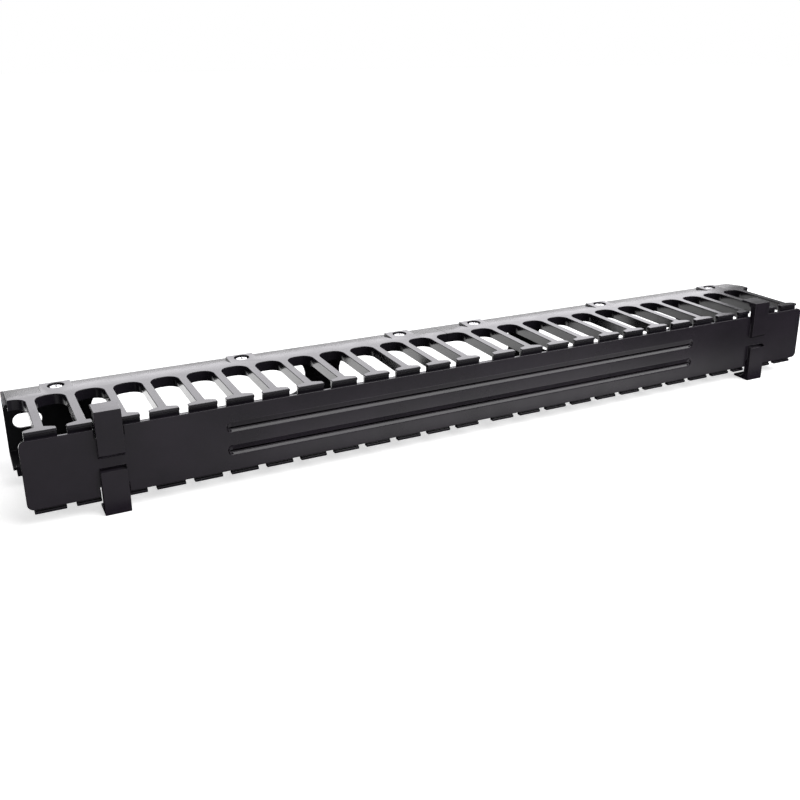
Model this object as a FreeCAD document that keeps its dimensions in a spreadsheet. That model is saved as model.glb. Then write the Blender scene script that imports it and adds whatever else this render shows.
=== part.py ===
"""Horizontal cable manager for a 19 inch rack.

A pressed steel back panel carries four moulded finger combs, two above and two below, each held by
three screws.  A flat cover closes the mouth between the combs and is held by four snap latches.

Frame: millimetres, +Z up, -Y towards the front.  The origin is the middle of the panel's rear face.
"""
import FreeCAD, Part
import math
import os
import Sketcher

DEPTH = FreeCAD.Vector(0, 0, 1)

SIZES = (
    # steel back panel
    ("total_width", 482.6),
    ("panel_height", 34.6),
    ("panel_thickness", 1.5),
    ("flange_reach", 22.9),
    ("bend_radius", 2.2),
    ("window_height", 22.0),
    ("window_bridge", 21.0),
    ("window_margin", 41.8),
    ("mount_slot_length", 14.0),
    ("mount_slot_height", 7.8),
    ("mount_slot_inset", 10.7),
    # finger combs
    ("comb_height", 40.0),
    ("comb_reach", 71.0),
    ("comb_rear_gap", 4.0),
    ("comb_end_gap", 1.5),
    ("seam_gap", 0.2),
    ("rear_slope_run", 15.6),
    ("rear_edge", 0.8),
    ("fingers_per_comb", 13),
    ("first_finger_inset", 11.45),
    ("finger_width", 4.2),
    ("arch_gap", 0.5),
    ("slot_corner", 6.0),
    ("skirt_depth", 5.5),
    ("skirt_wall", 1.6),
    ("head_width", 13.1),
    ("head_depth", 5.2),
    ("head_taper", 1.5),
    ("head_tip_cut", 0.8),
    ("head_wall", 2.4),
    ("lip_height", 1.5),
    ("lip_proud", 0.8),
    # screw pads and screws
    ("pad_inset", 25.25),
    ("pad_width", 15.0),
    ("pad_rear_gap", 3.0),
    ("screw_setback", 12.5),
    ("recess_diameter", 8.0),
    ("recess_web", 0.7),
    ("screw_head_diameter", 6.4),
    ("screw_head_height", 1.5),
    ("screw_diameter", 3.5),
    ("screw_length", 7.0),
    ("screw_play", 0.2),
    # cover and its latches
    ("cover_thickness", 1.6),
    ("cover_gap", 0.3),
    ("cover_end_gap", 1.7),
    ("cover_edge_gap", 3.2),
    ("cover_corner", 3.0),
    ("groove_height", 5.5),
    ("groove_offset", 6.0),
    ("groove_depth", 0.7),
    ("groove_inset", 92.3),
    ("groove_wall_angle", 45.0),
    ("latch_width", 12.1),
    ("latch_play", 0.6),
    ("latch_shift", 1.25),
    ("latch_proud", 2.5),
    ("latch_start", 2.4),
    ("latch_ramp", 1.7),
    ("tab_rise", 5.8),
    ("tab_thickness", 1.4),
    ("tab_reach", 7.7),
    ("tab_root", 2.6),
    ("slit_width", 1.2),
    ("slit_depth", 4.8),
)


class Size:
    """A length: its value now, and the expression that features are bound to."""

    def __init__(self, value, text):
        self.value = value
        self.text = text

    def join(self, other, sign, value):
        text = other.text if isinstance(other, Size) else repr(other)
        return Size(value, "(%s %s %s)" % (self.text, sign, text))

    def __add__(self, other):
        return self.join(other, "+", self.value + number(other))

    def __sub__(self, other):
        return self.join(other, "-", self.value - number(other))

    def __mul__(self, other):
        return self.join(other, "*", self.value * number(other))

    def __truediv__(self, other):
        return self.join(other, "/", self.value / number(other))

    def __neg__(self):
        return self * -1


def number(item):
    """The plain number behind a Size or a number."""
    return item.value if isinstance(item, Size) else item


def fill_sheet(doc):
    """Write the driving dimensions into the sheet and return them as Size objects."""
    sheet = doc.addObject("Spreadsheet::Sheet", "Sizes")
    sizes = {}
    for row, (name, value) in enumerate(SIZES, start=1):
        sheet.set("A%d" % row, name)
        sheet.set("B%d" % row, str(value))
        sheet.setAlias("B%d" % row, name)
        sizes[name] = Size(float(value), "Sizes." + name)
    return sizes


doc = FreeCAD.newDocument("CableManager")
size = fill_sheet(doc)
doc.recompute()
NONE = Size(0.0, "0")

# ---- places worked out from the driving dimensions -------------------------------------------

half_width = size["total_width"] / 2
comb_middle = size["total_width"] / 4
comb_top = size["comb_height"] / 2
panel_top = size["panel_height"] / 2
skirt_bottom = comb_top - size["skirt_depth"]
arch_face = size["flange_reach"] + size["arch_gap"]
slot_start = arch_face + size["skirt_wall"]
finger_gaps = size["fingers_per_comb"] - 1
finger_span = half_width - size["first_finger_inset"] * 2
finger_pitch = finger_span / finger_gaps
pad_spread = comb_middle - size["pad_inset"]
head_back = size["comb_reach"] - size["head_depth"]
tip_back = head_back + size["head_taper"]
latch_place = half_width - size["first_finger_inset"] - finger_pitch * 1.5 - size["latch_shift"]
cover_back = size["comb_reach"] + size["cover_gap"]
cover_front = cover_back + size["cover_thickness"]
cover_edge = comb_top - size["cover_edge_gap"]
recess_floor = panel_top + size["recess_web"]
OVERRUN = 1.0


# ---- helpers for sketches and features -------------------------------------------------------

def origin_part(body, role):
    """The body's own origin plane or axis with this role."""
    return next(item for item in body.Origin.OriginFeatures if item.Role == role)


def new_sketch(body, name, role, offset=None):
    """A sketch on one of the body's origin planes, moved along the plane's normal by offset."""
    sketch = body.newObject("Sketcher::SketchObject", name)
    sketch.AttachmentSupport = [(origin_part(body, role), "")]
    sketch.MapMode = "FlatFace"
    if offset is not None:
        sketch.setExpression("AttachmentOffset.Base.z", offset.text)
    return sketch


def bind(sketch, kind, *items):
    """Add a dimension to the sketch; the last item is the Size that drives it."""
    length = items[-1]
    index = sketch.addConstraint(Sketcher.Constraint(kind, *items[:-1], length.value))
    sketch.setExpression("Constraints[%d]" % index, length.text)


def place_point(sketch, geometry, end, across, up):
    """Tie one point of a sketch to the sketch's origin by two dimensions."""
    bind(sketch, "DistanceX", -1, 1, geometry, end, across)
    bind(sketch, "DistanceY", -1, 1, geometry, end, up)


def outline(sketch, corners):
    """A closed outline of straight sides, with an arc at each corner that has a radius.

    Each corner is (across, up) or (across, up, radius).  A sharp corner is placed by its two
    dimensions.  A side that meets a rounded corner runs along X or Y, and keeps the coordinate that
    its two corners share.
    """
    count = len(corners)
    points = [FreeCAD.Vector(corner[0].value, corner[1].value, 0) for corner in corners]
    radii = [corner[2] if len(corner) > 2 else None for corner in corners]
    trims = [radius.value if radius else 0.0 for radius in radii]
    ways = [(points[(i + 1) % count] - points[i]).normalize() for i in range(count)]
    sides = []
    for i in range(count):
        following = (i + 1) % count
        start = points[i] + ways[i] * trims[i]
        end = points[following] - ways[i] * trims[following]
        sides.append(sketch.addGeometry(Part.LineSegment(start, end)))
    for i in range(count):
        across, up = corners[i][:2]
        if radii[i]:
            round_corner(sketch, sides[i - 1], sides[i], points[i], ways[i - 1], ways[i], radii[i])
        else:
            sketch.addConstraint(Sketcher.Constraint("Coincident", sides[i - 1], 2, sides[i], 1))
            place_point(sketch, sides[i], 1, across, up)
        ends = (radii[i], radii[(i + 1) % count])
        if any(ends):
            upright = abs(ways[i].x) < abs(ways[i].y)
            sketch.addConstraint(Sketcher.Constraint("Vertical" if upright else "Horizontal", sides[i]))
            if all(ends):
                shared = ("DistanceX", across) if upright else ("DistanceY", up)
                bind(sketch, shared[0], -1, 1, sides[i], 1, shared[1])


def round_corner(sketch, before, after, corner, way_in, way_out, radius):
    """An arc tangent to the side before a corner and to the side after it."""
    first = corner - way_in * radius.value
    last = corner + way_out * radius.value
    centre = corner + (way_out - way_in) * radius.value
    middle = centre + (corner - centre).normalize() * radius.value
    arc = sketch.addGeometry(Part.Arc(first, middle, last))
    from_start = (sketch.getPoint(arc, 1) - first).Length < (sketch.getPoint(arc, 2) - first).Length
    near, far = (1, 2) if from_start else (2, 1)
    sketch.addConstraint(Sketcher.Constraint("Tangent", before, 2, arc, near))
    sketch.addConstraint(Sketcher.Constraint("Tangent", arc, far, after, 1))
    bind(sketch, "Radius", arc, radius)


def rectangle(sketch, left, right, low, high):
    """A rectangle between two places across and two places up."""
    outline(sketch, ((left, low), (right, low), (right, high), (left, high)))


def circle(sketch, across, up, diameter):
    """A circle placed by its centre."""
    centre = FreeCAD.Vector(across.value, up.value, 0)
    ring = sketch.addGeometry(Part.Circle(centre, DEPTH, diameter.value / 2))
    place_point(sketch, ring, 3, across, up)
    bind(sketch, "Diameter", ring, diameter)


def obround(sketch, left, right, up, height):
    """A slot outline with full round ends, from left to right along the level given by up."""
    radius = height.value / 2
    centres = (left + height / 2, right - height / 2)
    turns = ((0.5, 1.5), (-0.5, 0.5))
    arcs = []
    for centre, (start, end) in zip(centres, turns):
        ring = Part.Circle(FreeCAD.Vector(centre.value, up.value, 0), DEPTH, radius)
        arcs.append(sketch.addGeometry(Part.ArcOfCircle(ring, start * math.pi, end * math.pi)))
    low = up.value - radius
    high = up.value + radius
    lower = sketch.addGeometry(Part.LineSegment(FreeCAD.Vector(centres[0].value, low, 0),
                                                FreeCAD.Vector(centres[1].value, low, 0)))
    upper = sketch.addGeometry(Part.LineSegment(FreeCAD.Vector(centres[1].value, high, 0),
                                                FreeCAD.Vector(centres[0].value, high, 0)))
    chain = ((arcs[0], 2, lower, 1), (lower, 2, arcs[1], 1), (arcs[1], 2, upper, 1), (upper, 2, arcs[0], 1))
    for joint in chain:
        sketch.addConstraint(Sketcher.Constraint("Tangent", *joint))
    place_point(sketch, arcs[0], 3, centres[0], up)
    bind(sketch, "DistanceX", -1, 1, arcs[1], 3, centres[1])
    bind(sketch, "Diameter", arcs[0], height)


def extrude(body, kind, sketch, length, both_ways=False, reverse=False):
    """Pad or pocket a sketch by a length that is bound to the sheet."""
    feature = body.newObject("PartDesign::" + kind, sketch.Name + kind)
    feature.Profile = sketch
    feature.Midplane = both_ways
    feature.Reversed = reverse
    feature.setExpression("Length", length.text)
    sketch.Visibility = False
    return feature


def repeat(body, features, step, count):
    """Repeat features along the body's X axis: count of them in all, a step apart."""
    row = body.newObject("PartDesign::LinearPattern", features[0].Name + "Row")
    row.Originals = features
    row.Direction = (origin_part(body, "X_Axis"), [""])
    row.setExpression("Length", (step * (count - 1)).text)
    row.setExpression("Occurrences", count.text if isinstance(count, Size) else str(count))
    body.Tip = row
    return row


def mirror(body, features, role):
    """Mirror features in one of the body's origin planes."""
    copy = body.newObject("PartDesign::Mirrored", features[0].Name + "Mirror")
    copy.Originals = features
    copy.MirrorPlane = (origin_part(body, role), [""])
    body.Tip = copy
    return copy


# ---- the steel back panel ---------------------------------------------------------------------

def back_panel():
    """A channel of sheet steel: a face with windows and rack slots, and two flanges to the front."""
    body = doc.addObject("PartDesign::Body", "BackPanel")
    body.Label = "back_panel"
    sheet = size["panel_thickness"]
    front = -size["flange_reach"]
    inside = panel_top - sheet
    bend = size["bend_radius"]
    inner_bend = bend - sheet
    channel = new_sketch(body, "Channel", "YZ_Plane")
    outline(channel, (
        (NONE, panel_top, bend), (front, panel_top), (front, inside), (-sheet, inside, inner_bend),
        (-sheet, -inside, inner_bend), (front, -inside), (front, -panel_top), (NONE, -panel_top, bend)))
    extrude(body, "Pad", channel, size["total_width"], both_ways=True)

    window_room = half_width - size["window_margin"]
    window_length = (window_room * 2 - size["window_bridge"] * 2) / 3
    window = new_sketch(body, "Window", "XZ_Plane", -sheet * 2)
    obround(window, -window_room, window_length - window_room, NONE, size["window_height"])
    opening = extrude(body, "Pocket", window, sheet * 4, reverse=True)
    repeat(body, [opening], window_length + size["window_bridge"], 3)

    slot_middle = half_width - size["mount_slot_inset"]
    reach = size["mount_slot_length"] / 2
    slot = new_sketch(body, "RackSlot", "XZ_Plane", -sheet * 2)
    obround(slot, -slot_middle - reach, reach - slot_middle, NONE, size["mount_slot_height"])
    rack_slot = extrude(body, "Pocket", slot, sheet * 4, reverse=True)
    repeat(body, [rack_slot], slot_middle * 2, 2)

    holes = []
    for side, name in ((-1, "Left"), (1, "Right")):
        hole = new_sketch(body, "ScrewHole" + name, "XY_Plane")
        circle(hole, comb_middle * side - pad_spread, -size["screw_setback"],
               size["screw_diameter"] + size["screw_play"])
        holes.append(extrude(body, "Pocket", hole, size["comb_height"], both_ways=True))
    repeat(body, holes, pad_spread, 3)
    return body


# ---- the finger combs ------------------------------------------------------------------------

def comb_body(label, hand):
    """One comb in its own frame: X from the middle of its finger row, outer face at +Z.

    hand is -1 where the comb's outer end lies towards -X and 1 where it lies towards +X.  The comb
    is symmetric about its middle apart from its two ends and the channel for the cover's latch.
    """
    body = doc.addObject("PartDesign::Body", "Comb")
    body.Label = label
    rear = -size["comb_rear_gap"]
    front = -size["comb_reach"]
    slope_end = rear - size["rear_slope_run"]
    lip_back = front + size["lip_proud"]
    lip_under = comb_top - size["lip_height"]
    outer_end = comb_middle - size["comb_end_gap"]
    inner_end = comb_middle - size["seam_gap"] / 2
    left_end = outer_end if hand < 0 else inner_end

    section = new_sketch(body, "Section", "YZ_Plane", -left_end)
    outline(section, (
        (rear, panel_top), (rear, panel_top + size["rear_edge"]), (slope_end, comb_top),
        (front, comb_top), (front, lip_under), (lip_back, lip_under), (lip_back, skirt_bottom),
        (-arch_face, skirt_bottom), (-arch_face, panel_top)))
    extrude(body, "Pad", section, outer_end + inner_end)

    slot_pockets(body)
    end_pockets(body)
    head_cores(body)
    latch_channel(body, hand)
    screw_pads(body)
    return body


def cut_down(body, sketch):
    """Cut a sketch on the XY plane up through the whole comb."""
    return extrude(body, "Pocket", sketch, size["comb_height"], reverse=True)


def slot_pockets(body):
    """The T-shaped gaps between neighbouring fingers, whose heads taper towards their tips."""
    middle = -finger_pitch * (finger_gaps - 1) / 2
    gap = (finger_pitch - size["finger_width"]) / 2
    mouth = (finger_pitch - size["head_width"]) / 2
    tip = mouth + size["head_tip_cut"]
    past = -size["comb_reach"] - OVERRUN
    corner = size["slot_corner"]
    slot = new_sketch(body, "Slot", "XY_Plane")
    outline(slot, (
        (middle - gap, -slot_start, corner), (middle + gap, -slot_start, corner),
        (middle + gap, -head_back), (middle + tip, -tip_back),
        (middle + mouth, -tip_back - size["head_tip_cut"]), (middle + mouth, past),
        (middle - mouth, past), (middle - mouth, -tip_back - size["head_tip_cut"]),
        (middle - tip, -tip_back), (middle - gap, -head_back)))
    repeat(body, [cut_down(body, slot)], finger_pitch, finger_gaps)


def end_pockets(body):
    """The half gaps outside the first and the last finger, open to the comb's ends."""
    outer_finger = finger_span / 2
    side = -outer_finger - size["finger_width"] / 2
    wing = -outer_finger - size["head_width"] / 2
    beyond = -comb_middle - OVERRUN
    past = -size["comb_reach"] - OVERRUN
    end = new_sketch(body, "EndSlot", "XY_Plane")
    outline(end, (
        (beyond, -slot_start), (side, -slot_start, size["slot_corner"]), (side, -head_back),
        (wing + size["head_tip_cut"], -tip_back), (wing, -tip_back - size["head_tip_cut"]),
        (wing, past), (beyond, past)))
    mirror(body, [cut_down(body, end)], "YZ_Plane")


def head_cores(body):
    """The hollow under each finger's head, behind the wall that hangs at its front."""
    first = -finger_span / 2
    half_core = size["head_width"] / 2 - size["head_wall"]
    core = new_sketch(body, "HeadCore", "XY_Plane", skirt_bottom - OVERRUN)
    rectangle(core, first - half_core, first + half_core, size["head_wall"] - size["comb_reach"], -head_back)
    depth = panel_top - skirt_bottom + OVERRUN
    repeat(body, [extrude(body, "Pocket", core, depth, reverse=True)], finger_pitch,
           size["fingers_per_comb"])


def latch_channel(body, hand):
    """The cut through two facing head wings that lets the cover's latch in."""
    place = (latch_place - comb_middle) * hand
    half_channel = size["latch_width"] / 2 + size["latch_play"]
    channel = new_sketch(body, "LatchChannel", "XY_Plane")
    rectangle(channel, place - half_channel, place + half_channel, -size["comb_reach"] - OVERRUN, -head_back)
    cut_down(body, channel)


def screw_pads(body):
    """Three level pads on the sloping rear of the comb, each recessed for a screw head."""
    first = -pad_spread
    half_pad = size["pad_width"] / 2
    back = -size["comb_rear_gap"] - size["pad_rear_gap"]
    ahead = -size["comb_rear_gap"] - size["rear_slope_run"]
    base = new_sketch(body, "ScrewPad", "XY_Plane", panel_top)
    rectangle(base, first - half_pad, first + half_pad, ahead, back)
    pad = extrude(body, "Pad", base, comb_top - panel_top)
    recess = new_sketch(body, "ScrewRecess", "XY_Plane", recess_floor)
    circle(recess, first, -size["screw_setback"], size["recess_diameter"])
    bore = new_sketch(body, "ScrewBore", "XY_Plane")
    sunk = extrude(body, "Pocket", recess, comb_top - recess_floor + OVERRUN, reverse=True)
    circle(bore, first, -size["screw_setback"], size["screw_diameter"] + size["screw_play"] * 2)
    through = cut_down(body, bore)
    repeat(body, [pad, sunk, through], pad_spread, 3)


def combs():
    """The four combs: the lower ones are the upper shapes turned over about the Y axis."""
    turn_over = FreeCAD.Rotation(FreeCAD.Vector(0, 1, 0), 180)
    level = FreeCAD.Rotation()
    bodies = []
    for row, turned in (("top", False), ("bottom", True)):
        for name, side in (("left", -1), ("right", 1)):
            hand = -side if turned else side
            body = comb_body("%s_comb_%s" % (row, name), hand)
            body.Placement = FreeCAD.Placement(FreeCAD.Vector(), turn_over if turned else level)
            body.setExpression("Placement.Base.x", (comb_middle * side).text)
            bodies.append(body)
    return bodies


# ---- the cover -------------------------------------------------------------------------------

def cover():
    """The flat front cover with two shallow grooves and four latches moulded in one with it."""
    body = doc.addObject("PartDesign::Body", "Cover")
    body.Label = "cover"
    side = half_width - size["cover_end_gap"]
    corner = size["cover_corner"]
    plate = new_sketch(body, "Plate", "XZ_Plane", cover_back)
    outline(plate, (
        (-side, cover_edge, corner), (side, cover_edge, corner),
        (side, -cover_edge, corner), (-side, -cover_edge, corner)))
    extrude(body, "Pad", plate, size["cover_thickness"])

    groove_end = side - size["groove_inset"]
    groove = new_sketch(body, "Groove", "XZ_Plane", cover_front)
    for level in (size["groove_offset"], -size["groove_offset"]):
        obround(groove, -groove_end, groove_end, level, size["groove_height"])
    sunk = extrude(body, "Pocket", groove, size["groove_depth"])
    sunk.setExpression("TaperAngle", (-size["groove_wall_angle"]).text)

    features = [latch(body), latch_slits(body)]
    spread = body.newObject("PartDesign::MultiTransform", "Latches")
    spread.Originals = features
    flips = []
    for role in ("YZ_Plane", "XY_Plane"):
        flip = body.newObject("PartDesign::Mirrored", "Flip" + role[:2])
        flip.MirrorPlane = (origin_part(body, role), [""])
        flips.append(flip)
    spread.Transformations = flips
    body.Tip = spread
    return body


def latch(body):
    """The upper right latch: a raised strap, a neck that leaves the cover's edge, and a press tab."""
    face = -cover_front - size["latch_proud"]
    foot = size["latch_start"] + size["latch_ramp"]
    top = comb_top + size["tab_rise"]
    under_tab = top - size["tab_thickness"]
    tip = size["tab_reach"] - size["comb_reach"]
    root = size["tab_root"]
    seat = cover_edge - size["slit_depth"]
    middle = -cover_front + size["cover_thickness"] / 2
    profile = new_sketch(body, "LatchProfile", "YZ_Plane", latch_place)
    outline(profile, (
        (face, foot), (face, top), (tip, top), (tip, under_tab), (root - cover_back, under_tab),
        (-cover_back, under_tab - root), (-cover_back, seat), (middle, seat),
        (middle, size["latch_start"]), (-cover_front, size["latch_start"])))
    return extrude(body, "Pad", profile, size["latch_width"], both_ways=True)


def latch_slits(body):
    """The two slits in the cover beside the latch, which let it bend."""
    slits = new_sketch(body, "Slits", "XZ_Plane", cover_back - OVERRUN)
    low = cover_edge - size["slit_depth"]
    high = cover_edge + OVERRUN
    half_latch = size["latch_width"] / 2
    for start in (latch_place - half_latch - size["slit_width"], latch_place + half_latch):
        rectangle(slits, start, start + size["slit_width"], low, high)
    return extrude(body, "Pocket", slits, size["cover_thickness"] + OVERRUN * 2, reverse=True)


# ---- the screws ------------------------------------------------------------------------------

def screw(label, across, upside):
    """A screw turned about its own axis: a head on a shank.  upside is -1 for one driven from below."""
    body = doc.addObject("PartDesign::Body", "Screw")
    body.Label = label
    head = size["screw_head_diameter"] / 2
    shank = size["screw_diameter"] / 2
    height = size["screw_head_height"]
    profile = new_sketch(body, "ScrewProfile", "XZ_Plane")
    outline(profile, (
        (NONE, -size["screw_length"]), (shank, -size["screw_length"]), (shank, NONE), (head, NONE),
        (head, height), (NONE, height)))
    turned = body.newObject("PartDesign::Revolution", "ScrewTurned")
    turned.Profile = profile
    turned.ReferenceAxis = (profile, ["V_Axis"])
    turned.Angle = 360
    turn = FreeCAD.Rotation(FreeCAD.Vector(0, 1, 0), 0 if upside > 0 else 180)
    body.Placement = FreeCAD.Placement(FreeCAD.Vector(), turn)
    body.setExpression("Placement.Base.x", across.text)
    body.setExpression("Placement.Base.y", (-size["screw_setback"]).text)
    body.setExpression("Placement.Base.z", (recess_floor * upside).text)
    return body


def screws():
    """Three screws for each comb, numbered from left to right."""
    bodies = []
    for row, upside in (("top", 1), ("bottom", -1)):
        places = [comb_middle * side + pad_spread * step for side in (-1, 1) for step in (-1, 0, 1)]
        for index, across in enumerate(places, start=1):
            bodies.append(screw("%s_screw_%d" % (row, index), across, upside))
    return bodies


# ---- build, check and write ------------------------------------------------------------------

def write_parts(bodies):
    """Check every object of the document and every sub-part, then write one STEP file for each."""
    for item in doc.Objects:
        if "Invalid" in item.State or "Error" in item.State:
            raise RuntimeError("%s (%s) did not recompute: %s" % (item.Label, item.Name, item.State))
    for body in bodies:
        if body.Shape.isNull() or not body.Shape.isValid() or len(body.Shape.Solids) != 1:
            raise RuntimeError("%s is not one valid solid" % body.Label)
    os.makedirs("parts", exist_ok=True)
    for body in bodies:
        body.Shape.exportStep("parts/%s.step" % body.Label)
        box = body.Shape.BoundBox
        print("%-18s volume %10.2f  x %8.2f %8.2f  y %7.2f %7.2f  z %7.2f %7.2f" % (
            body.Label, body.Shape.Volume, box.XMin, box.XMax, box.YMin, box.YMax, box.ZMin, box.ZMax))


parts = [back_panel()] + combs() + [cover()] + screws()
doc.recompute()
write_parts(parts)
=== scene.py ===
"""Looks of the horizontal cable manager: finishes, softened mouldings, screw heads, light and camera."""
import math

import bmesh
import bpy
import numpy as np
from mathutils import Matrix, Vector

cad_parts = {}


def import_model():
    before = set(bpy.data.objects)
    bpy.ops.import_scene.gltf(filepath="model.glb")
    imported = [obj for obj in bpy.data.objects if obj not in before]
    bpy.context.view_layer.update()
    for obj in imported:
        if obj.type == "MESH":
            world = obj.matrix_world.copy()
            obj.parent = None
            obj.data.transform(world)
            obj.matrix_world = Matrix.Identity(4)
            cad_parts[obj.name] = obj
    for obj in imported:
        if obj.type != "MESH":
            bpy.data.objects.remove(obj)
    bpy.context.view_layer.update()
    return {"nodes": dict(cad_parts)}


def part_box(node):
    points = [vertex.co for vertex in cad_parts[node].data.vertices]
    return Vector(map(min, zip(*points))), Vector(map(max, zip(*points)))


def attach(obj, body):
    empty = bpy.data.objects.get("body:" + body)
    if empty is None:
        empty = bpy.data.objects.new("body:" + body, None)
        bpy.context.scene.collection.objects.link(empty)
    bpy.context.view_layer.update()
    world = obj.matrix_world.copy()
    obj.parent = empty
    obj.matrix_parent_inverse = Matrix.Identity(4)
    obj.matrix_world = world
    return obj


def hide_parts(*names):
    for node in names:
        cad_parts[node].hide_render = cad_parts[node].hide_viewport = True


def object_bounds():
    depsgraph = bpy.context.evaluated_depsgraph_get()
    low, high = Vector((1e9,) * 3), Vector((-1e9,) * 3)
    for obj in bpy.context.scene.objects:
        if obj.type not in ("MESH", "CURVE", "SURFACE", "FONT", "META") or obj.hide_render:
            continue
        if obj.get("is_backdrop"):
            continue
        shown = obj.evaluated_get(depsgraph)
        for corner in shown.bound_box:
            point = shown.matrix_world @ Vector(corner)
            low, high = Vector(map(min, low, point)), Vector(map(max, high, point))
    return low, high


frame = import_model()
nodes = frame["nodes"]
MM = 0.001

COMBS = ("top_comb_left", "top_comb_right", "bottom_comb_left", "bottom_comb_right")
SCREWS = tuple(name for name in sorted(nodes) if "_screw_" in name)


# ---- node helpers ------------------------------------------------------------------------------

def new_material(name):
    """An empty node material with a Principled surface; returns the material, its tree and shader."""
    material = bpy.data.materials.new(name)
    material.use_nodes = True
    tree = material.node_tree
    tree.nodes.clear()
    shader = tree.nodes.new("ShaderNodeBsdfPrincipled")
    output = tree.nodes.new("ShaderNodeOutputMaterial")
    tree.links.new(shader.outputs["BSDF"], output.inputs["Surface"])
    return material, tree, shader


def noise(tree, scale, detail):
    """Noise in object coordinates, so that it stays on the piece: scale per metre, detail in octaves."""
    place = tree.nodes.new("ShaderNodeTexCoord")
    texture = tree.nodes.new("ShaderNodeTexNoise")
    texture.inputs["Scale"].default_value = scale
    texture.inputs["Detail"].default_value = detail
    tree.links.new(place.outputs["Object"], texture.inputs["Vector"])
    return texture.outputs["Fac"]


def ramp(tree, value, low, high, start=0.35, end=0.65):
    """Map a noise value between two colours or two grey levels, low up to start and high from end."""
    node = tree.nodes.new("ShaderNodeValToRGB")
    first, last = node.color_ramp.elements
    first.position, last.position = start, end
    first.color = low if isinstance(low, tuple) else (low, low, low, 1.0)
    last.color = high if isinstance(high, tuple) else (high, high, high, 1.0)
    tree.links.new(value, node.inputs["Fac"])
    return node.outputs["Color"]


def bump(tree, height, distance, strength, under=None):
    """Turn a height into a surface normal; under is a normal that lies beneath it."""
    node = tree.nodes.new("ShaderNodeBump")
    node.inputs["Distance"].default_value = distance
    node.inputs["Strength"].default_value = strength
    tree.links.new(height, node.inputs["Height"])
    if under is not None:
        tree.links.new(under, node.inputs["Normal"])
    return node.outputs["Normal"]


# ---- finishes ------------------------------------------------------------------------------------

PLASTIC_IOR = 1.45
COATING_IOR = 1.36


def moulded_plastic(name, low, high, rough_low, rough_high, grain):
    """Black moulded plastic: faint flow marks in the colour, soft waviness and a fine grain over it.

    The colour lies between low and high, the roughness between rough_low and rough_high, and grain
    is the strength of the finest bump.
    """
    material, tree, shader = new_material(name)
    colour = ramp(tree, noise(tree, scale=35.0, detail=3.0), low, high)
    tree.links.new(colour, shader.inputs["Base Color"])
    rough = ramp(tree, noise(tree, scale=90.0, detail=4.0), rough_low, rough_high)
    tree.links.new(rough, shader.inputs["Roughness"])
    shader.inputs["IOR"].default_value = PLASTIC_IOR
    wave = bump(tree, noise(tree, scale=30.0, detail=1.0), distance=0.2 * MM, strength=0.08)
    specks = noise(tree, scale=1800.0, detail=2.0)
    fine = bump(tree, specks, distance=0.01 * MM, strength=grain, under=wave)
    tree.links.new(fine, shader.inputs["Normal"])
    return material


def powder_coat(name):
    """Satin black powder coat on steel: orange peel bump and a little variation in gloss."""
    material, tree, shader = new_material(name)
    clouds = noise(tree, scale=40.0, detail=3.0)
    colour = ramp(tree, clouds, low=(0.006, 0.006, 0.007, 1), high=(0.010, 0.010, 0.012, 1))
    tree.links.new(colour, shader.inputs["Base Color"])
    rough = ramp(tree, noise(tree, scale=120.0, detail=4.0), low=0.34, high=0.44)
    tree.links.new(rough, shader.inputs["Roughness"])
    shader.inputs["IOR"].default_value = COATING_IOR
    peel = bump(tree, noise(tree, scale=900.0, detail=2.0), distance=0.03 * MM, strength=0.4)
    tree.links.new(peel, shader.inputs["Normal"])
    return material


def bright_zinc(name):
    """Bright zinc plate: metallic, with faint cloudiness and fine turning marks."""
    material, tree, shader = new_material(name)
    clouds = noise(tree, scale=500.0, detail=3.0)
    colour = ramp(tree, clouds, low=(0.72, 0.72, 0.74, 1), high=(0.86, 0.86, 0.87, 1))
    tree.links.new(colour, shader.inputs["Base Color"])
    shader.inputs["Metallic"].default_value = 1.0
    rough = ramp(tree, noise(tree, scale=1500.0, detail=3.0), low=0.16, high=0.30)
    tree.links.new(rough, shader.inputs["Roughness"])
    marks = bump(tree, noise(tree, scale=4000.0, detail=2.0), distance=0.01 * MM, strength=0.4)
    tree.links.new(marks, shader.inputs["Normal"])
    return material


comb_plastic = moulded_plastic(
    "comb_plastic", low=(0.011, 0.010, 0.013, 1), high=(0.015, 0.013, 0.018, 1),
    rough_low=0.15, rough_high=0.21, grain=0.05)
cover_plastic = moulded_plastic(
    "cover_plastic", low=(0.012, 0.0097, 0.014, 1), high=(0.0165, 0.0128, 0.019, 1),
    rough_low=0.20, rough_high=0.27, grain=0.15)
panel_coat = powder_coat("panel_powder_coat")
zinc = bright_zinc("screw_zinc")


# ---- softened mouldings and folded sheet -----------------------------------------------------------

# Rounding and shading of the merged copies.
MERGE = 0.002 * MM  # corners nearer to each other than this are one corner
COPLANAR = math.radians(0.5)  # faces that turn by less than this are joined into one
SHARP = math.radians(30)  # an edge that turns by more than this is rounded
OPEN_EDGE = math.radians(60)  # past this turn it is a square edge, and below it an open one
FACET = math.radians(2)  # an edge that turns by less than this is no fold
BROAD = 50 * MM * MM  # a fold lies between two faces above this area
SEAM = 0.3 * MM  # the butt joint of two combs lies this close to the middle of the rack
BEVEL_SEGMENTS = 3

# The latches' place, and the walls that are drawn in towards them, from each latch's middle.
LATCH_PLACE = 201.3 * MM  # from the middle of the rack
SLIT_SIDE = 7.25 * MM  # outer wall of the slit beside a latch, in the cover
CLOSED_SLIT = 6.6 * MM
CHANNEL_SIDE = 6.65 * MM  # wall of the channel that the latch goes through, in the combs
CLOSED_CHANNEL = 6.15 * MM
WALL_MATCH = 0.03 * MM  # how near a corner lies to the wall that it belongs to

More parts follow.
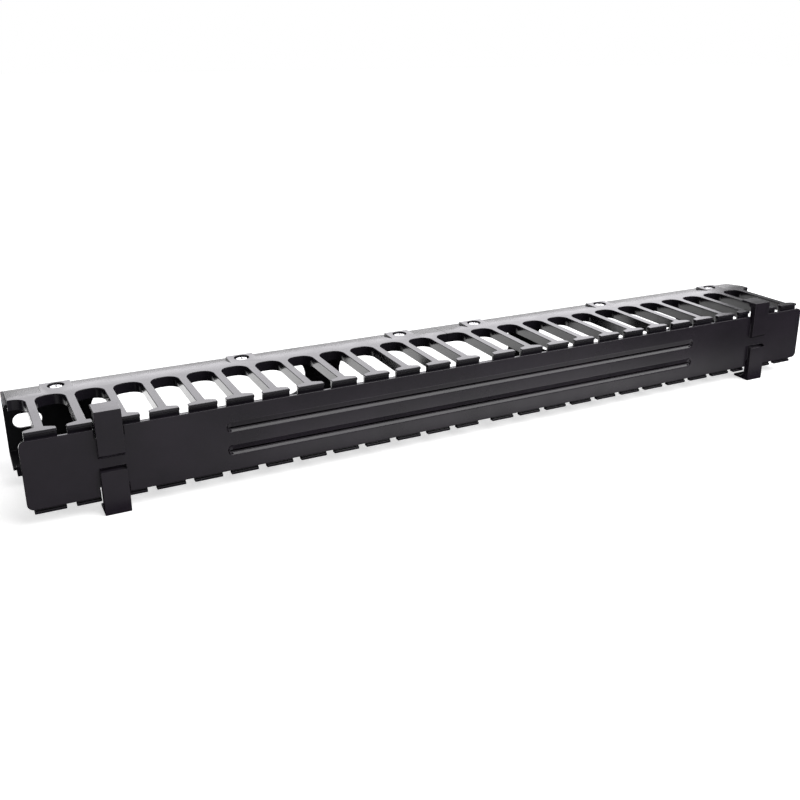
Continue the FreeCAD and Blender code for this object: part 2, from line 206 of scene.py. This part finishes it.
# The pockets in the lower latches' sloping ends.
SLOPE_TILT = (0.3, 0.95)  # least and most of the normal's upward part
LATCHES_FROM = 190 * MM  # the latches stand further than this from the middle of the rack
SLOPE_LEVEL = 5 * MM  # the slopes lie this close to the cover's middle height
LATCH_WALL = 0.2 * MM
LATCH_POCKET = 2.2 * MM
POCKET_DRAFT = 0.02 * MM  # how much narrower the pocket is at its bottom

# The cover's two grooves.
GROOVE_REACH = 170 * MM  # they end this close to the middle of the rack
GROOVE_LEVEL = 6.0 * MM  # their middles, above and below the cover's middle
GROOVE_DEPTH = 0.7 * MM
GROOVE_HALF_FLOOR = 2.05 * MM
GROOVE_FLOOR = 0.3  # share of its height that the floor keeps
GROOVE_SINK = 0.5 * MM  # how much deeper the floor goes
DEPTH_MATCH = 0.05 * MM  # how near a floor's corner lies to the groove's depth
EDGE_MATCH = 0.1 * MM  # how far past the floor's edges its corners may lie

# The combs' fingers.
FINGER_PITCH = 18.2 * MM
FIRST_FINGER = 11.45 * MM  # from the middle of the rack
HEAD_SIDE = 6.55 * MM  # side wall of a head, from the finger's middle
WIDE_HEAD = 6.95 * MM


def hollow_latch_ends(work):
    """Sink a pocket into the sloping end of each lower latch strap, inside a thin wall.

    The two slopes are the faces that tilt upwards near the ends of the cover, close to its middle
    height.  The slopes, the walls and the pockets' sides come back, so that their edges stay crisp.
    """
    least_tilt, most_tilt = SLOPE_TILT
    slopes = [face for face in work.faces
              if least_tilt < face.normal.z < most_tilt
              and abs(face.calc_center_median().x) > LATCHES_FROM
              and abs(face.calc_center_median().z) < SLOPE_LEVEL]
    rims = bmesh.ops.inset_individual(work, faces=slopes, thickness=LATCH_WALL, depth=0.0)
    sides = bmesh.ops.inset_individual(work, faces=slopes, thickness=POCKET_DRAFT, depth=-LATCH_POCKET)
    return set(slopes) | set(rims["faces"]) | set(sides["faces"])


def lean_groove_roofs(work):
    """Turn each groove's upper wall into a long shallow slope that meets a narrow, deeper floor.

    A corner on the floor of a groove goes deeper by GROOVE_SINK, and its height above the floor's
    lower edge is scaled by GROOVE_FLOOR and raised by GROOVE_SINK, which keeps the lower wall's slope.
    """
    between_latches = [corner for corner in work.verts if abs(corner.co.x) < GROOVE_REACH]
    front = min(corner.co.y for corner in between_latches)
    for corner in between_latches:
        level = math.copysign(GROOVE_LEVEL, corner.co.z)
        above = corner.co.z - (level - GROOVE_HALF_FLOOR)
        on_floor = abs(corner.co.y - front - GROOVE_DEPTH) < DEPTH_MATCH
        if on_floor and -EDGE_MATCH < above < 2 * GROOVE_HALF_FLOOR + EDGE_MATCH:
            corner.co.z += GROOVE_SINK - above * (1.0 - GROOVE_FLOOR)
            corner.co.y += GROOVE_SINK


def close_up(work, side, closed):
    """Draw in the two walls that stand at side from each latch's middle, so that they stand at closed."""
    for corner in work.verts:
        offset = abs(corner.co.x) - LATCH_PLACE
        if abs(abs(offset) - side) < WALL_MATCH:
            corner.co.x = math.copysign(LATCH_PLACE + math.copysign(closed, offset), corner.co.x)


def shape_cover(work):
    """The cover's own details: narrow latch slits, leaning groove roofs and hollow latch ends."""
    close_up(work, SLIT_SIDE, CLOSED_SLIT)
    lean_groove_roofs(work)
    return hollow_latch_ends(work)


def widen_heads(work):
    """Move the side walls of every finger head from HEAD_SIDE to WIDE_HEAD from the finger's middle.

    The fingers stand FINGER_PITCH apart, the first one FIRST_FINGER from the middle of the rack.
    """
    for corner in work.verts:
        from_first = abs(corner.co.x) - FIRST_FINGER
        middle = FIRST_FINGER + round(from_first / FINGER_PITCH) * FINGER_PITCH
        offset = abs(corner.co.x) - middle
        if abs(abs(offset) - HEAD_SIDE) < WALL_MATCH:
            corner.co.x = math.copysign(middle + math.copysign(WIDE_HEAD, offset), corner.co.x)


def shape_comb(work):
    """The combs' own details: wide heads that come close up to the latch between them."""
    close_up(work, CHANNEL_SIDE, CLOSED_CHANNEL)
    widen_heads(work)
    return set()


def merged_copy(name, square_weight, open_weight, detail):
    """The node's surface with its corners merged and its flat faces joined into one face each.

    An edge sharper than SHARP gets a bevel weight: square_weight where it turns by more than
    OPEN_EDGE and open_weight where it turns by less.  The edges at the butt joint of two combs and
    those of the faces that detail gives back get none.  A shallow fold between two broad faces is
    marked sharp, so that it shades as a fold and not as a curve.
    """
    mesh = nodes[name].data.copy()
    mesh.name = name + "_surface"
    work = bmesh.new()
    work.from_mesh(mesh)
    bmesh.ops.remove_doubles(work, verts=work.verts, dist=MERGE)
    bmesh.ops.dissolve_limit(work, angle_limit=COPLANAR, verts=work.verts, edges=work.edges)
    crisp = detail(work) if detail is not None else set()
    weight = work.edges.layers.float.new("bevel_weight_edge")
    for edge in work.edges:
        turn = edge.calc_face_angle(0.0)
        at_seam = all(abs(corner.co.x) < SEAM for corner in edge.verts)
        left_crisp = at_seam or not crisp.isdisjoint(edge.link_faces)
        if turn > SHARP:
            edge[weight] = 0.0 if left_crisp else (square_weight if turn > OPEN_EDGE else open_weight)
            edge.smooth = not left_crisp
        elif turn > FACET and min(face.calc_area() for face in edge.link_faces) > BROAD:
            edge.smooth = False
    for face in work.faces:
        face.smooth = True
    work.to_mesh(mesh)
    work.free()
    return mesh


def soften(name, body, material, square_radius, open_radius, detail=None):
    """Stand for a node with a merged copy whose edges are rounded.

    The square edges are rounded to square_radius and the open ones to open_radius.
    """
    widest = max(square_radius, open_radius)
    mesh = merged_copy(name, square_radius / widest, open_radius / widest, detail)
    mesh.materials.clear()
    mesh.materials.append(material)
    piece = bpy.data.objects.new(name + "_finished", mesh)
    bpy.context.collection.objects.link(piece)
    rounding = piece.modifiers.new("rounded_edges", "BEVEL")
    rounding.limit_method = "WEIGHT"
    rounding.width = widest
    rounding.segments = BEVEL_SEGMENTS
    rounding.use_clamp_overlap = False
    rounding.loop_slide = False
    even = piece.modifiers.new("even_shading", "WEIGHTED_NORMAL")
    even.keep_sharp = True
    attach(piece, body)
    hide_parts(name)


for name in COMBS:
    soften(name, "frame", comb_plastic, 0.32 * MM, 0.3 * MM, shape_comb)
soften("cover", "cover", cover_plastic, 0.3 * MM, 0.5 * MM, shape_cover)
soften("back_panel", "frame", panel_coat, 0.15 * MM, 0.15 * MM)


# ---- screws ----------------------------------------------------------------------------------------

HEAD_RADIUS = 3.2 * MM
HEAD_HEIGHT = 1.5 * MM
RIM_DRAW = 0.14  # share of the head's radius that its rim rounds in by
RIM_START = 0.40  # share of the head's height at which the rim begins to round
RIM_RISE = 0.50  # share of the head's height that the rounding takes, the dome above it the rest
UNDER_HEAD = (0.7, 0.96)  # rows under the head, as shares of its radius
SHANK_RADIUS = 1.75 * MM
TIP_FLAT = 0.55  # radius of the tip's flat end, as a share of the shank's
TIP_CONE = 0.8  # radius of the cone behind it, as a share of the shank's
TIP_LENGTH = 0.3 * MM
THREAD_START = 0.5 * MM  # from the tip
THREAD_END = 0.05 * MM  # below the head
THREAD_PITCH = 0.7 * MM
THREAD_DEPTH = 0.25 * MM
CROSS_REACH = 1.8 * MM
CROSS_HALF_WIDTH = 0.42 * MM
CROSS_DEPTH = 0.9 * MM
CROSS_WALL = 0.14 * MM  # width over which the long walls of the cross fall
CROSS_END = 0.5 * MM  # length over which the ends of the cross fall
AROUND = 64
SHANK_ROWS = 72
RIM_ROWS = 12
DOME_ROWS = 30


def smooth_step(value):
    """0 below 0, 1 above 1, and 3v^2 - 2v^3 in between."""
    value = np.clip(value, 0.0, 1.0)
    return value * value * (3.0 - 2.0 * value)


def ring_mesh(name, points):
    """A closed surface from rows of rings; the first and the last ring are single points on the axis.

    Row i, column j joins row i + 1 and column j + 1, and the columns close on themselves.
    """
    rows, columns = points.shape[:2]
    inner = points[1:-1].reshape(-1, 3)
    vertices = np.vstack([points[0, :1], inner, points[-1, :1]])
    start = 1 + np.arange(rows - 3)[:, None] * columns
    here = np.arange(columns)
    onward = (here + 1) % columns
    quads = np.stack([start + here, start + onward, start + columns + onward, start + columns + here],
                     axis=-1)
    last = len(vertices) - 1
    top = 1 + (rows - 3) * columns
    faces = [tuple(quad) for quad in quads.reshape(-1, 4).tolist()]
    faces += [(0, int(b) + 1, int(a) + 1) for a, b in zip(here, onward)]
    faces += [(last, top + int(a), top + int(b)) for a, b in zip(here, onward)]
    mesh = bpy.data.meshes.new(name)
    mesh.from_pydata(vertices.tolist(), [], faces)
    mesh.validate()
    mesh.shade_smooth()
    piece = bpy.data.objects.new(name, mesh)
    bpy.context.collection.objects.link(piece)
    return piece


def pan_head_screw(name, material):
    """A pan head screw turned from one profile, with a rolled thread and a cross recess.

    The profile runs from the tip on the axis up the shank, out under the head, over its rim and in
    to the axis: (radius, height) for each row, swept through AROUND steps of angle.  On the shank the
    radius loses THREAD_DEPTH * |2 frac(height / pitch - angle / 2 pi) - 1|, which is a helix.  On
    the top the height loses CROSS_DEPTH where the smaller of |x| and |y| is under the cross's half
    width and the larger is under its reach.
    """
    low, high = (np.array(corner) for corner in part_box(name))
    axis_x = (low[0] + high[0]) / 2
    axis_y = (low[1] + high[1]) / 2
    length = high[2] - low[2] - HEAD_HEIGHT
    upside = 1.0 if low[2] + high[2] > 0 else -1.0

    tip = np.array([[0.0, -length],
                    [SHANK_RADIUS * TIP_FLAT, -length],
                    [SHANK_RADIUS * TIP_CONE, -length + TIP_LENGTH]])
    shank = np.column_stack([np.full(SHANK_ROWS, SHANK_RADIUS),
                             np.linspace(-length + THREAD_START, -THREAD_END, SHANK_ROWS)])
    under = np.array([[SHANK_RADIUS, 0.0]] + [[HEAD_RADIUS * share, 0.0] for share in UNDER_HEAD])
    turn = np.linspace(0.0, math.pi / 2, RIM_ROWS)
    rim = np.column_stack([HEAD_RADIUS * (1.0 - RIM_DRAW * (1.0 - np.cos(turn))),
                           HEAD_HEIGHT * (RIM_START + RIM_RISE * np.sin(turn))])
    inward = np.linspace(1.0, 0.0, DOME_ROWS)[1:]
    dome_foot = RIM_START + RIM_RISE
    dome = np.column_stack([HEAD_RADIUS * (1.0 - RIM_DRAW) * inward,
                            HEAD_HEIGHT * (dome_foot + (1.0 - dome_foot) * (1.0 - inward ** 2))])
    profile = np.vstack([tip, shank, under, rim, dome])

    angle = np.linspace(0.0, 2 * math.pi, AROUND, endpoint=False)
    radius = np.repeat(profile[:, :1], AROUND, axis=1)
    height = np.repeat(profile[:, 1:], AROUND, axis=1)
    threaded = slice(len(tip), len(tip) + SHANK_ROWS)
    phase = np.mod(height[threaded] / THREAD_PITCH - angle / (2 * math.pi), 1.0)
    radius[threaded] -= THREAD_DEPTH * np.abs(2.0 * phase - 1.0)
    across = radius * np.cos(angle)
    along = radius * np.sin(angle)
    nearer = np.minimum(np.abs(across), np.abs(along))
    further = np.maximum(np.abs(across), np.abs(along))
    cross = (smooth_step((CROSS_HALF_WIDTH - nearer) / CROSS_WALL)
             * smooth_step((CROSS_REACH - further) / CROSS_END))
    height[-len(dome):] -= CROSS_DEPTH * cross[-len(dome):]

    seat = high[2] - HEAD_HEIGHT if upside > 0 else low[2] + HEAD_HEIGHT
    points = np.stack([axis_x + across, axis_y + along * upside, seat + height * upside], axis=-1)
    piece = ring_mesh(name + "_finished", points)
    piece.data.materials.append(material)
    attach(piece, "frame")
    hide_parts(name)


for name in SCREWS:
    pan_head_screw(name, zinc)


# ---- camera --------------------------------------------------------------------------------------

# The camera stands in front, above and to the left.  Yaw turns it from +Y towards +X, pitch tilts it
# down and roll turns it about its own axis, all in radians.  The focal length and the shifts are
# shares of the frame's width.
SENSOR = 36.0
FOCAL_SHARE = 941.91 / 800
SHIFT_ACROSS = -30.53 / 800
SHIFT_UP = -30.64 / 800
CAMERA_PLACE = (-0.25500, -0.49047, 0.18332)
YAW = 0.48266
PITCH = 0.33675
ROLL = 0.00235
NEAREST = 0.01
FURTHEST = 50.0


def stand_camera():
    """The camera at its place, turned by yaw, pitch and roll, as the scene's own camera.

    Forward is (sin yaw cos pitch, cos yaw cos pitch, -sin pitch).  Right lies level, square to
    forward, and up is square to both; right and up are then turned by roll.
    """
    forward = Vector((math.sin(YAW) * math.cos(PITCH), math.cos(YAW) * math.cos(PITCH),
                      -math.sin(PITCH)))
    level_right = Vector((math.cos(YAW), -math.sin(YAW), 0.0))
    level_up = level_right.cross(forward)
    right = level_right * math.cos(ROLL) + level_up * math.sin(ROLL)
    up = right.cross(forward)
    lens = bpy.data.cameras.new("camera")
    lens.sensor_width = SENSOR
    lens.lens = FOCAL_SHARE * SENSOR
    lens.shift_x = SHIFT_ACROSS
    lens.shift_y = SHIFT_UP
    lens.clip_start = NEAREST
    lens.clip_end = FURTHEST
    camera = bpy.data.objects.new("camera", lens)
    axes = Matrix((right, up, -forward)).transposed().to_4x4()
    camera.matrix_world = Matrix.Translation(Vector(CAMERA_PLACE)) @ axes
    bpy.context.collection.objects.link(camera)
    bpy.context.scene.camera = camera


stand_camera()


# ---- floor, world and lamps ------------------------------------------------------------------------

FLOOR_HALF = 6.0  # half the floor's width
FLOOR_WHITE = 0.9  # the floor's colour, except in gloss
GLOSS_WHITE = 0.95  # its colour in gloss where no painted shade lies on it
STRIP_GLOW = 0.85  # painted highlight: glow of the strip in front, in gloss alone
GLOW_BEHIND = 1.3  # painted highlight: glow behind the panel, in gloss alone
WHITE = (1, 1, 1, 1)


def feed(tree, socket, value):
    """Link a socket or set it to a plain number."""
    if isinstance(value, bpy.types.NodeSocket):
        tree.links.new(value, socket)
    else:
        socket.default_value = value


def falloff(tree, value, first, last, low=0.0, high=1.0):
    """Smooth step of a value, from low at first to high at last."""
    node = tree.nodes.new("ShaderNodeMapRange")
    node.interpolation_type = "SMOOTHSTEP"
    for label, number in (("From Min", first), ("From Max", last), ("To Min", low), ("To Max", high)):
        node.inputs[label].default_value = number
    tree.links.new(value, node.inputs["Value"])
    return node.outputs["Result"]


def combine(tree, operation, first, second):
    """One arithmetic step on two values."""
    node = tree.nodes.new("ShaderNodeMath")
    node.operation = operation
    feed(tree, node.inputs[0], first)
    feed(tree, node.inputs[1], second)
    return node.outputs[0]


def mix_value(tree, factor, first, second):
    """first where factor is 0, second where it is 1."""
    node = tree.nodes.new("ShaderNodeMix")
    tree.links.new(factor, node.inputs["Factor"])
    feed(tree, node.inputs["A"], first)
    feed(tree, node.inputs["B"], second)
    return node.outputs["Result"]


def distance_from(tree, place, centre):
    """Distance of a place from a fixed point."""
    node = tree.nodes.new("ShaderNodeVectorMath")
    node.operation = "DISTANCE"
    tree.links.new(place, node.inputs[0])
    node.inputs[1].default_value = centre
    return node.outputs["Value"]


def floor():
    """A pale floor under the lowest point: white to the eye where no shadow falls, painted in gloss.

    In gloss its colour is painted: it is the greater of two shades, which the plastic shows in its
    reflections alone.  One is full behind the panel.  The other is a painted shadow, zero along the
    cover's foot and full in front of it, times a painted fade to the left, a painted fade to the right
    and, at the left end, a painted drop far in front.  In gloss it also glows, as painted highlights
    and no lamp, behind the panel and, right of the left end, in one strip in front.  To the eye it
    glows more the further it is from the part.
    """
    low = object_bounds()[0].z
    corners = [(-FLOOR_HALF, -FLOOR_HALF, low), (FLOOR_HALF, -FLOOR_HALF, low),
               (FLOOR_HALF, FLOOR_HALF, low), (-FLOOR_HALF, FLOOR_HALF, low)]
    mesh = bpy.data.meshes.new("floor")
    mesh.from_pydata(corners, [], [(0, 1, 2, 3)])
    plane = bpy.data.objects.new("floor", mesh)
    bpy.context.collection.objects.link(plane)
    material, tree, shader = new_material("floor_white")
    shader.inputs["Roughness"].default_value = 0.9
    shader.inputs["Specular IOR Level"].default_value = 0.0
    shader.inputs["Emission Color"].default_value = WHITE
    place = tree.nodes.new("ShaderNodeTexCoord").outputs["Object"]
    split = tree.nodes.new("ShaderNodeSeparateXYZ")
    tree.links.new(place, split.inputs[0])
    across = split.outputs["X"]
    along = split.outputs["Y"]
    path = tree.nodes.new("ShaderNodeLightPath")
    in_gloss = path.outputs["Is Glossy Ray"]

    # Painted shade in the floor's reflections: in gloss alone it is darker to the left and to the right.
    left_fade = falloff(tree, across, first=-0.34, last=0.08, low=0.38, high=1.0)
    right_fade = falloff(tree, across, first=0.10, last=0.27, low=1.0, high=0.15)
    painted_side_shade = combine(tree, "MULTIPLY", left_fade, right_fade)
    # Painted shadow in the floor's reflections, dark along the cover's foot.
    out_of_painted_foot_shadow = falloff(tree, along, first=-0.080, last=-0.094)
    behind = falloff(tree, along, first=-0.02, last=0.06)
    past_left_end = falloff(tree, across, first=-0.18, last=-0.05)
    # Painted shade in the floor's reflections, darker far in front at the left end.
    far_drop = falloff(tree, along, first=-0.185, last=-0.125, low=0.42, high=1.0)
    far = mix_value(tree, past_left_end, 1.0, far_drop)
    front_shade = combine(tree, "MULTIPLY", combine(tree, "MULTIPLY", painted_side_shade, out_of_painted_foot_shadow), far)
    shade = combine(tree, "MAXIMUM", front_shade, behind)
    # The floor's colour in gloss alone, painted lighter and darker by place.
    gloss_colour = combine(tree, "MULTIPLY", shade, GLOSS_WHITE)
    tree.links.new(mix_value(tree, in_gloss, FLOOR_WHITE, gloss_colour), shader.inputs["Base Color"])

    from_part = distance_from(tree, place, (0, 0, low))
    to_eye = falloff(tree, from_part, first=0.5, last=1.6, low=0.60, high=0.95)
    lift = mix_value(tree, path.outputs["Is Camera Ray"], 0.0, to_eye)
    # A painted highlight: a strip in front that glows in gloss alone.
    strip_front = falloff(tree, along, first=-0.140, last=-0.108)
    strip_back = falloff(tree, along, first=-0.089, last=-0.100)
    strip = combine(tree, "MULTIPLY", strip_front, strip_back)
    front_glow = combine(tree, "MULTIPLY", combine(tree, "MULTIPLY", strip, past_left_end),
                         combine(tree, "MULTIPLY", painted_side_shade, STRIP_GLOW))
    # Painted highlights: the floor glows behind the panel and in the strip, in gloss alone, and lights
    # nothing else.
    gloss_glow = combine(tree, "ADD", combine(tree, "MULTIPLY", behind, GLOW_BEHIND), front_glow)
    tree.links.new(mix_value(tree, in_gloss, lift, gloss_glow), shader.inputs["Emission Strength"])
    mesh.materials.append(material)
    plane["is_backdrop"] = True


def world():
    """White surroundings to the eye; as a lamp and in gloss, a studio that is darker overhead.

    The room is brightest in a low band on the right.  The eye and clear pieces see white all round,
    and gloss sees white in a narrow band at the horizon.
    """
    surroundings = bpy.data.worlds.new("world")
    bpy.context.scene.world = surroundings
    surroundings.use_nodes = True
    tree = surroundings.node_tree
    tree.nodes.clear()
    place = tree.nodes.new("ShaderNodeTexCoord")
    split = tree.nodes.new("ShaderNodeSeparateXYZ")
    tree.links.new(place.outputs["Generated"], split.inputs[0])
    across = split.outputs["X"]
    upward = split.outputs["Z"]
    low_band = falloff(tree, upward, first=0.30, last=0.06)
    right_side = falloff(tree, across, first=-0.25, last=0.0)
    low_right = combine(tree, "MULTIPLY", low_band, right_side)
    room = falloff(tree, low_right, first=0.0, last=1.0, low=0.25, high=0.50)
    path = tree.nodes.new("ShaderNodeLightPath")
    horizon = falloff(tree, upward, first=0.14, last=0.03)
    in_gloss = combine(tree, "MULTIPLY", path.outputs["Is Glossy Ray"], horizon)
    seen = combine(tree, "MAXIMUM", path.outputs["Is Camera Ray"], path.outputs["Is Transmission Ray"])
    strength = mix_value(tree, combine(tree, "MAXIMUM", seen, in_gloss), room, 1.0)
    background = tree.nodes.new("ShaderNodeBackground")
    background.inputs["Color"].default_value = WHITE
    tree.links.new(strength, background.inputs["Strength"])
    output = tree.nodes.new("ShaderNodeOutputWorld")
    tree.links.new(background.outputs[0], output.inputs["Surface"])


def softbox(name, place, target, width, height, radiance, colour=(1.0, 1.0, 1.0)):
    """A rectangular lamp that faces target; radiance is how bright its face looks.

    Its power is radiance * pi * width * height.
    """
    lamp = bpy.data.lights.new(name, "AREA")
    lamp.color = colour
    lamp.shape = "RECTANGLE"
    lamp.size = width
    lamp.size_y = height
    lamp.energy = radiance * math.pi * width * height
    item = bpy.data.objects.new(name, lamp)
    item.location = place
    item.rotation_euler = (Vector(target) - Vector(place)).to_track_quat("-Z", "Y").to_euler()
    bpy.context.collection.objects.link(item)


floor()
world()
softbox("back_light", place=(0.88, 2.13, 1.02), target=(0, 0, 0.02), width=2.4, height=1.4,
        radiance=2.5, colour=(0.975, 0.955, 1.0))
softbox("top_light", place=(0.80, -0.90, 1.33), target=(0, 0, 0), width=1.6, height=1.6, radiance=4.0)
bpy.context.scene.view_settings.view_transform = "Standard"
